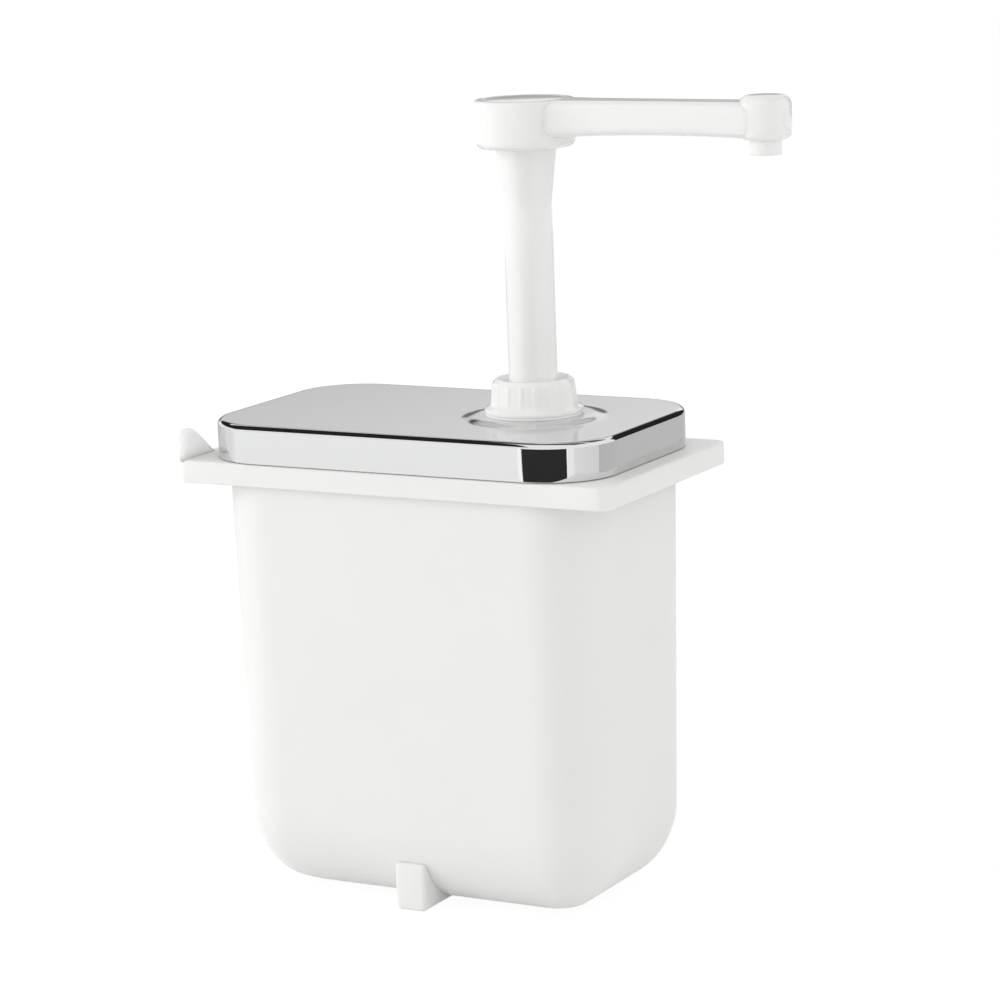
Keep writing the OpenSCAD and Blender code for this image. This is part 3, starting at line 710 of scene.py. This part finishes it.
# %% Lock nut and washer
NUT_Z, NUT_H, NUT_R = 205.55, 14.0, 20.5
NUT_BASE_H, NUT_WAIST_R, NUT_WAIST_Z = 1.6, 17.75, 3.4
NUT_NECK_R, NUT_NECK_Z, NUT_CREST_R = 16.75, 12.5, 15.25
NUT_CUP_R, NUT_CUP_Z, NUT_STEM_R = 14.5, 11.0, 10.6
NUT_THREAD_R, NUT_THREAD_H = 15.1, 8.7
NUT_RIBS, RIB_OUT, RIB_POWER = 18, 0.4, 1.5
RIB_LOW, RIB_HIGH, RIB_LOW_FADE, RIB_HIGH_FADE = 2.4, 12.0, 2.0, 1.0
RIB_INSIDE_R = 15.8
WASHER_LOW, WASHER_BORE_R, WASHER_EDGE_R = 204.55, 15.3, 0.2
NUT_CORNERS = [
    (NUT_THREAD_R, 0),
    (NUT_R, 0),
    (NUT_R, NUT_BASE_H),
    (NUT_WAIST_R, NUT_WAIST_Z),
    (NUT_NECK_R, NUT_NECK_Z),
    (NUT_CREST_R, NUT_H),
    (NUT_CUP_R, NUT_H),
    (NUT_CUP_R, NUT_CUP_Z),
    (NUT_STEM_R, NUT_CUP_Z),
    (NUT_STEM_R, NUT_THREAD_H),
    (NUT_THREAD_R, NUT_THREAD_H),
]
NUT_ROUNDS = [0.2, 0.5, 0.8, 3.0, 1.8, 0.3, 0.3, 0.5, 0.3, 0.2, 0.2]
NUT_PROFILE = rounded(NUT_CORNERS, NUT_ROUNDS)


def nut_rings(columns=432):
    """The nut's profile carried round its axis; outside, between the base and the top, the radius grows
    by a row of rounded ribs, which fade out at both ends."""
    rings = turned(NUT_PROFILE, columns=columns)
    ribs = np.maximum(np.cos(NUT_RIBS * full_turn(columns)), 0) ** RIB_POWER
    height = NUT_PROFILE[:, 1]
    fade_in = np.clip((height - RIB_LOW) / RIB_LOW_FADE, 0, 1)
    fade_out = np.clip((RIB_HIGH + RIB_HIGH_FADE - height) / RIB_HIGH_FADE, 0, 1)
    outer = fade_in * fade_out * (NUT_PROFILE[:, 0] > RIB_INSIDE_R)
    grow = 1 + RIB_OUT * outer[:, None] * ribs / NUT_PROFILE[:, :1]
    rings[:, :, :2] *= grow[:, :, None]
    return rings + [PUMP_X, 0, NUT_Z]


nut_shell = shell(nut_rings(), loop=True)
nut_piece = piece("lock_nut_moulding", [nut_shell], FINISHES["pump_plastic"], "nut_body", "lock_nut")
washer_corners = [(WASHER_BORE_R, WASHER_LOW), (NUT_R, WASHER_LOW), (NUT_R, NUT_Z), (WASHER_BORE_R, NUT_Z)]
washer_shell = shell(turned(rounded(washer_corners, WASHER_EDGE_R), PUMP_X), loop=True)
washer_piece = piece("washer_ring", [washer_shell], FINISHES["pump_plastic"], "washer_body", "nut_washer")

# %% [markdown]
# ## The stem
#
# The stem is a tube that widens below the head. It could be two cylinders with a cone between them, but
# the light would break where they meet. It is turned from one profile, with a long radius where the
# straight part runs into the cone.

# %% Stem
STEM_LOW, STEM_HIGH, SHOULDER, FLARE_H = 178.55, 326.05, 314.35, 21.0
FLARE_LOW = SHOULDER - FLARE_H
STEM_BORE_R, STEM_R, FLARE_R, SPIGOT_R = 6.0, 10.0, 12.75, 9.0
STEM_ARC_STEPS = 10
STEM_CORNERS = [
    (STEM_BORE_R, STEM_LOW),
    (STEM_R, STEM_LOW),
    (STEM_R, FLARE_LOW),
    (FLARE_R, SHOULDER),
    (SPIGOT_R, SHOULDER),
    (SPIGOT_R, STEM_HIGH),
    (STEM_BORE_R, STEM_HIGH),
]
STEM_ROUNDS = [0.2, 0.3, 60, 0.5, 0.2, 0.4, 0.3]
STEM_PROFILE = rounded(STEM_CORNERS, STEM_ROUNDS, steps=STEM_ARC_STEPS)
stem_shell = shell(turned(STEM_PROFILE, PUMP_X), loop=True)
stem_piece = piece("stem_moulding", [stem_shell], FINISHES["pump_plastic"], "plunger_body", "stem_tube")

# %% [markdown]
# ## The return spring
#
# The spring stands in the barrel under the piston and shortens when the plunger goes down. Its CAD solid
# can't do that, so it would stand in the piston at the end of the stroke. Here the wire is carried along a
# helix with closed end turns, and the piece rides on the lid's body with a mesh of its own.

# %% Return spring
WIRE, SPRING_R = 1.6, 10.75
COILS, CLOSED_PITCH = 7, 2.2
SPRING_SEAT, SPRING_TOP = 88.05, 164.0
SPRING_RUN = SPRING_TOP - SPRING_SEAT - WIRE - 2 * CLOSED_PITCH


def spring_rings(steps=64, sides=16):
    """Rings of a round wire along a helix. The height grows by the closed pitch in the first and the last
    turn, and evenly by the spring's free run in the coils between them."""
    turns = np.linspace(0, COILS + 2, (COILS + 2) * steps + 1)[:, None]
    climb = [0, CLOSED_PITCH, CLOSED_PITCH + SPRING_RUN, 2 * CLOSED_PITCH + SPRING_RUN]
    height = np.interp(turns, [0, 1, COILS + 1, COILS + 2], climb)
    around = full_turn(sides)[None, :]
    radius = SPRING_R - WIRE / 2 + WIRE / 2 * np.cos(around)
    x = PUMP_X + radius * np.cos(2 * np.pi * turns)
    y = radius * np.sin(2 * np.pi * turns)
    z = SPRING_SEAT + WIRE / 2 + height + WIRE / 2 * np.sin(around)
    return np.stack([x, y, z], axis=-1)


spring_shell = shell(spring_rings())
spring_piece = piece("spring_coil", [spring_shell], FINISHES["spring_steel"], "lid_body", "return_spring")
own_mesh(spring_piece)

# %% [markdown]
# ## The spout head
#
# The head is one moulding: a round hub on the stem, an arm, and a turret over the nozzle. The arm could be
# a straight bar, but on the moulding its sides widen into the hub and its underside is a shallow arch, so a
# round-edged section is carried outwards and changes on its way.

# %% Spout head
HEAD_TOP = 334.05
HUB_R, HUB_H, HUB_BORE_R = 20.5, 19.5, 9.1
SEAT_R, SEAT_H, CLIP_ROOM_R, CLIP_ROOM_H = 17.0, 3.5, 13.0, 12.0
REACH, ARM_FROM, ARM_SUNK = 107.0, 4.0, 0.02
ARM_W, ARM_EDGE_R, ARM_ROUND = 20.0, 4.0, 0.49
ARM_ROOT_H, ARM_TIP_H, ARCH_R = 16.0, 14.5, 860.0
ROOT_WIDE, ROOT_W, ROOT_L, ROOT_BLEND = 18.5, 18.0, 27.0, 1.6
TIP_X = PUMP_X + REACH
TIP_R, TIP_TOP, TIP_LOW = 10.5, 336.55, 319.05
TIP_ARC_STEPS = 10
HUB_CORNERS = [
    (HUB_BORE_R, HEAD_TOP - HUB_H),
    (HUB_R, HEAD_TOP - HUB_H),
    (HUB_R, HEAD_TOP),
    (SEAT_R, HEAD_TOP),
    (SEAT_R, HEAD_TOP - SEAT_H),
    (CLIP_ROOM_R, HEAD_TOP - SEAT_H),
    (CLIP_ROOM_R, HEAD_TOP - CLIP_ROOM_H),
    (HUB_BORE_R, HEAD_TOP - CLIP_ROOM_H),
]
HUB_ROUNDS = [0.3, 3.0, 1.0, 0.3, 0, 0.2, 0.2, 0.2]
TURRET_CORNERS = [(0, TIP_LOW), (TIP_R, TIP_LOW), (TIP_R, TIP_TOP), (0, TIP_TOP)]
TURRET_ROUNDS = [0, 3.2, 4.0, 0]


def arm_rings(steps=72):
    """Sections of the arm: the half width runs smoothly from the hub's flank to the arm's own, and the
    depth follows a wide circle through the depths at the root and at the tip."""
    x = np.linspace(ARM_FROM, REACH, steps)
    flank = ROOT_WIDE + (ROOT_W / 2 - ROOT_WIDE) * x / ROOT_L
    half_w = ARM_W / 2 + ROOT_BLEND * np.logaddexp(0, (flank - ARM_W / 2) / ROOT_BLEND)
    slope = (ARM_ROOT_H - ARM_TIP_H) / REACH
    depth = ARM_ROOT_H - slope * x - x * (REACH - x) / (2 * ARCH_R)
    section = outline(half_w, depth / 2, np.minimum(ARM_EDGE_R, ARM_ROUND * depth))
    y = section[:, :, 0]
    z = HEAD_TOP - ARM_SUNK - (depth / 2)[:, None] + section[:, :, 1]
    return np.stack([np.broadcast_to(PUMP_X + x[:, None], y.shape), y, z], axis=-1)


hub_profile = rounded(HUB_CORNERS, HUB_ROUNDS)
turret_profile = rounded(TURRET_CORNERS, TURRET_ROUNDS, steps=TIP_ARC_STEPS)
head_shells = [
    shell(turned(hub_profile, PUMP_X), loop=True),
    shell(arm_rings()),
    shell(turned(turret_profile, TIP_X)),
]
head_piece = piece("head_moulding", head_shells, FINISHES["pump_plastic"], "head_body", "spout_head")

# %% [markdown]
# A flat cap closes the hub, and a short sleeve under the turret is the nozzle. Both are pressed in, so
# each is a turned piece of its own with a fine seam round it.

# %% Cap and nozzle
CAP_R, CAP_CROWN = 16.98, 0.05
NOZZLE_R, NOZZLE_BORE_R = 6.5, 3.5
NOZZLE_LOW, NOZZLE_SUNK = 313.05, 1.0
NOZZLE_HIGH = TIP_LOW + NOZZLE_SUNK
CAP_CORNERS = [
    (0, HEAD_TOP - SEAT_H),
    (CAP_R, HEAD_TOP - SEAT_H),
    (CAP_R, HEAD_TOP),
    (0, HEAD_TOP + CAP_CROWN),
]
CAP_ROUNDS = [0, 0.2, 0.5, 0]
NOZZLE_CORNERS = [
    (NOZZLE_BORE_R, NOZZLE_LOW),
    (NOZZLE_R, NOZZLE_LOW),
    (NOZZLE_R, NOZZLE_HIGH),
    (NOZZLE_BORE_R, NOZZLE_HIGH),
]
NOZZLE_ROUNDS = [0.4, 0.8, 0, 0]
cap_shell = shell(turned(rounded(CAP_CORNERS, CAP_ROUNDS), PUMP_X))
nozzle_shell = shell(turned(rounded(NOZZLE_CORNERS, NOZZLE_ROUNDS), TIP_X), loop=True)
cap_piece = piece("cap_disc", [cap_shell], FINISHES["pump_plastic"], "head_body", "head_cap")
nozzle_piece = piece("nozzle_sleeve", [nozzle_shell], FINISHES["pump_plastic"], "head_body", "nozzle_tip")

# %% [markdown]
# A small button closes the end of the drilled arm. A flat disc would stand off the turret, which is round
# there, so each of its points takes the turret's surface plus a low dome.

# %% Spout plug
PLUG_R, PLUG_EYE_R = 4.5, 0.3
PLUG_DOME, DOME_POWER = 0.25, 0.5
PLUG_SIDE, PLUG_END = -0.4, -2.0
ARM_MIDDLE = HEAD_TOP - ARM_TIP_H / 2


def plug_rings(steps=10, columns=64):
    """Rings about the arm's middle line: outwards from the button's middle over the dome, then inwards."""
    radius = np.concatenate([np.linspace(PLUG_EYE_R, PLUG_R, steps), [PLUG_R, PLUG_R]])[:, None]
    dome = PLUG_DOME * np.cos(np.linspace(0, np.pi / 2, steps)) ** DOME_POWER
    lift = np.concatenate([dome, [PLUG_SIDE, PLUG_END]])[:, None]
    turn = full_turn(columns)[None, :]
    y = radius * np.cos(turn)
    z = ARM_MIDDLE + radius * np.sin(turn)
    x = TIP_X + np.sqrt(TIP_R ** 2 - y ** 2) + lift
    return np.stack([x, y, z], axis=-1)


plug_piece = piece("plug_button", [shell(plug_rings())], FINISHES["pump_plastic"], "head_body", "spout_plug")

# %% [markdown]
# ## The studio
#
# The object stands on a pale floor before a white background, in soft light from the left. More light on
# the floor would make it white, but would also bleach the object. So the white is what the camera and
# reflections see of the floor and the world, and the object is lit by a plainer world.

# %% Floor and world
FLOOR_HALF = 12.0
FLOOR_GREY, FLOOR_ROUGH = 0.88, 0.9
FLOOR_WHITE, FLOOR_WHITE_SHARE = 1.05, 0.9
AMBIENT, BACKDROP = 0.78, 1.0


def stage_plane(name, corners, material):
    """Flat stage piece from four corners, in metres."""
    mesh = bpy.data.meshes.new(name)
    mesh.from_pydata([tuple(map(float, corner)) for corner in corners], [], [(0, 1, 2, 3)])
    mesh.materials.append(material)
    made = add_object(name, mesh)
    return made


def seen_by(tree, *kinds):
    """Share that is 1 for light paths of the given kinds and 0 for others: the greatest of their flags."""
    path = tree.nodes.new("ShaderNodeLightPath")
    share = path.outputs[kinds[0]]
    for kind in kinds[1:]:
        greater = tree.nodes.new("ShaderNodeMath")
        greater.operation = "MAXIMUM"
        tree.links.new(share, greater.inputs[0])
        tree.links.new(path.outputs[kind], greater.inputs[1])
        share = greater.outputs[0]
    return share


def mix_shaders(tree, share, first, second, output):
    """Mix of two shaders by a share, on the named output node."""
    mix = tree.nodes.new("ShaderNodeMixShader")
    tree.links.new(share, mix.inputs["Fac"])
    tree.links.new(first, mix.inputs[1])
    tree.links.new(second, mix.inputs[2])
    tree.links.new(mix.outputs["Shader"], tree.nodes[output].inputs["Surface"])


def floor_finish():
    """Pale matt floor; to the camera it is mostly plain white, with a little of its shading left in."""
    material = bpy.data.materials.new("pale_floor")
    material.use_nodes = True
    tree = material.node_tree
    shader = tree.nodes["Principled BSDF"]
    shader.inputs["Base Color"].default_value = (FLOOR_GREY, FLOOR_GREY, FLOOR_GREY, 1)
    shader.inputs["Roughness"].default_value = FLOOR_ROUGH
    shader.inputs["Specular IOR Level"].default_value = 0.0
    white = tree.nodes.new("ShaderNodeEmission")
    white.inputs["Strength"].default_value = FLOOR_WHITE
    kept = tree.nodes.new("ShaderNodeMath")
    kept.operation = "MULTIPLY"
    kept.inputs[1].default_value = FLOOR_WHITE_SHARE
    tree.links.new(seen_by(tree, "Is Camera Ray", "Is Glossy Ray"), kept.inputs[0])
    mix_shaders(tree, kept.outputs[0], shader.outputs["BSDF"], white.outputs["Emission"], "Material Output")
    return material


def background(node, strength):
    """Plain white background of a strength."""
    node.inputs["Color"].default_value = (1, 1, 1, 1)
    node.inputs["Strength"].default_value = strength
    return node.outputs["Background"]


floor_corners = [(x * FLOOR_HALF, y * FLOOR_HALF, 0) for x, y in ((-1, -1), (1, -1), (1, 1), (-1, 1))]
stage_plane("floor", floor_corners, floor_finish())

world = bpy.data.worlds.new("studio")
bpy.context.scene.world = world
world.use_nodes = True
tree = world.node_tree
ambient = background(tree.nodes["Background"], AMBIENT)
backdrop = background(tree.nodes.new("ShaderNodeBackground"), BACKDROP)
white_seen = seen_by(tree, "Is Camera Ray", "Is Glossy Ray", "Is Transmission Ray")
mix_shaders(tree, white_seen, ambient, backdrop, "World Output")
print("floor", 2 * FLOOR_HALF, "m wide, world at", AMBIENT)

# %% [markdown]
# Steel shows what is around it. An empty white studio would leave the lid without form, while a real one
# has a dark ceiling, a dark gap round the camera and grey walls. Here they are cards that only reflections
# see: those overhead draw the black lines along the lid's edges, those near the floor give the skirt its
# grey bands and its black patch, and those far behind shade the top.

# %% Cards
BLACK = 0.02
CEILING = 0.9
LOW = (0.0, 0.19)


def card(name, corners, brightness):
    """Flat card that only reflections see: to light that has met a matt surface, and so has a diffuse depth
    of 1 or more, it is clear. Its brightness runs evenly between the four values at its corners, or is the
    same all over."""
    material = bpy.data.materials.new(name)
    material.use_nodes = True
    tree = material.node_tree
    glow = tree.nodes.new("ShaderNodeEmission")
    shade = tree.nodes.new("ShaderNodeAttribute")
    shade.attribute_name = "brightness"
    tree.links.new(shade.outputs["Fac"], glow.inputs["Strength"])
    clear = tree.nodes.new("ShaderNodeBsdfTransparent")
    depth = tree.nodes.new("ShaderNodeLightPath").outputs["Diffuse Depth"]
    mix_shaders(tree, depth, glow.outputs["Emission"], clear.outputs["BSDF"], "Material Output")
    made = stage_plane(name, corners, material)
    shades = made.data.attributes.new("brightness", "FLOAT", "POINT")
    shades.data.foreach_set("value", np.broadcast_to(np.asarray(brightness, np.float32), 4).copy())
    made.visible_camera = False
    made.visible_diffuse = False
    made.visible_transmission = False
    made.visible_volume_scatter = False
    made.visible_shadow = False
    print("card", name)


def ceiling_card(name, plan, brightness):
    """Card that hangs level at the height of the ceiling, over the four corners of its plan."""
    card(name, [(x, y, CEILING) for x, y in plan], brightness)


def upright_card(name, start, end, heights, first, last=None):
    """Card that stands between two points of the floor, from one height to another. Its brightness is
    the same all over, or runs from the first value at its start to the last value at its end."""
    low, high = heights
    last = first if last is None else last
    card(name, [(*start, low), (*end, low), (*end, high), (*start, high)], [first, last, last, first])


ceiling_card("dark_ceiling", [(-2.6, -1.4), (-0.33, -1.4), (-0.33, 0.3), (-2.6, 0.3)], BLACK)
ceiling_card("dark_corner", [(-2.6, 0.3), (-1.0, 0.3), (-1.0, 1.7), (-2.6, 1.7)], BLACK)
ceiling_card("dark_zenith", [(-0.33, -0.2), (0.6, -0.2), (0.6, 0.75), (-0.33, 0.3)], 0.1)
upright_card("dark_gap", (-0.188, -0.601), (0.523, -0.456), LOW, 0.03)
upright_card("bright_frame", (-0.225, -0.62), (0.545, -0.452), (0.0, 0.22), 1.2)
upright_card("pale_side", (0.68, -0.40), (0.68, 0.12), LOW, 0.90, 0.80)
upright_card("grey_side", (0.66, 0.12), (0.33, 0.73), LOW, 0.58, 0.62)
upright_card("grey_back", (0.33, 0.73), (-0.30, 0.75), LOW, 0.6)
upright_card("pale_left", (-0.68, -0.34), (-0.47, 0.23), LOW, 1.02, 0.6)
upright_card("dark_left", (-0.47, 0.23), (-0.30, 0.75), LOW, 0.6, BLACK)
upright_card("dark_back", (-0.1, 1.7), (1.3, 1.7), (0.19, 1.3), BLACK)
upright_card("grey_high", (0.2, 3.3), (-2.6, 1.5), (1.6, 5.0), 0.66)
upright_card("dark_strip", (0.2, 3.3), (-2.6, 1.5), (1.4, 1.6), 0.3)
upright_card("grey_backdrop", (-0.5, 5.9), (-4.6, 3.8), (0.95, 2.4), 1.14, 0.50)
upright_card("dark_horizon", (-0.5, 5.9), (-4.6, 3.8), (0.0, 0.95), 0.15)

# %% [markdown]
# The world alone would light the plastic evenly and its round shapes would look flat. A wide soft lamp from
# the left and a weak one from the right give them a light and a shaded side. Reflections don't see the
# lamps, because the cards already say what the steel shows.

# %% Lamps
LAMP_TARGET, LAMP_SIZE = (0.0, 0.0, 0.18), 1.4
KEY_POWER, FILL_POWER = 18.0, 4.5


def lamp(name, position, power):
    """Square soft lamp that looks at the object: its -Z axis points along the line between them."""
    light = bpy.data.lights.new(name, "AREA")
    light.shape = "SQUARE"
    light.size = LAMP_SIZE
    light.energy = power
    away = np.asarray(position, float) - np.asarray(LAMP_TARGET, float)
    away /= np.linalg.norm(away)
    side = np.cross([0, 0, 1], away)
    side /= np.linalg.norm(side)
    made = add_object(name, light)
    made.matrix_world = stand([side, np.cross(away, side), away], position)
    made.visible_glossy = False
    print(name, "lamp of", power, "W")


lamp("key", (-1.8, -1.12, 0.9), KEY_POWER)
lamp("fill", (2.0, 0.3, 0.8), FILL_POWER)
bpy.context.scene.view_settings.view_transform = "Standard"
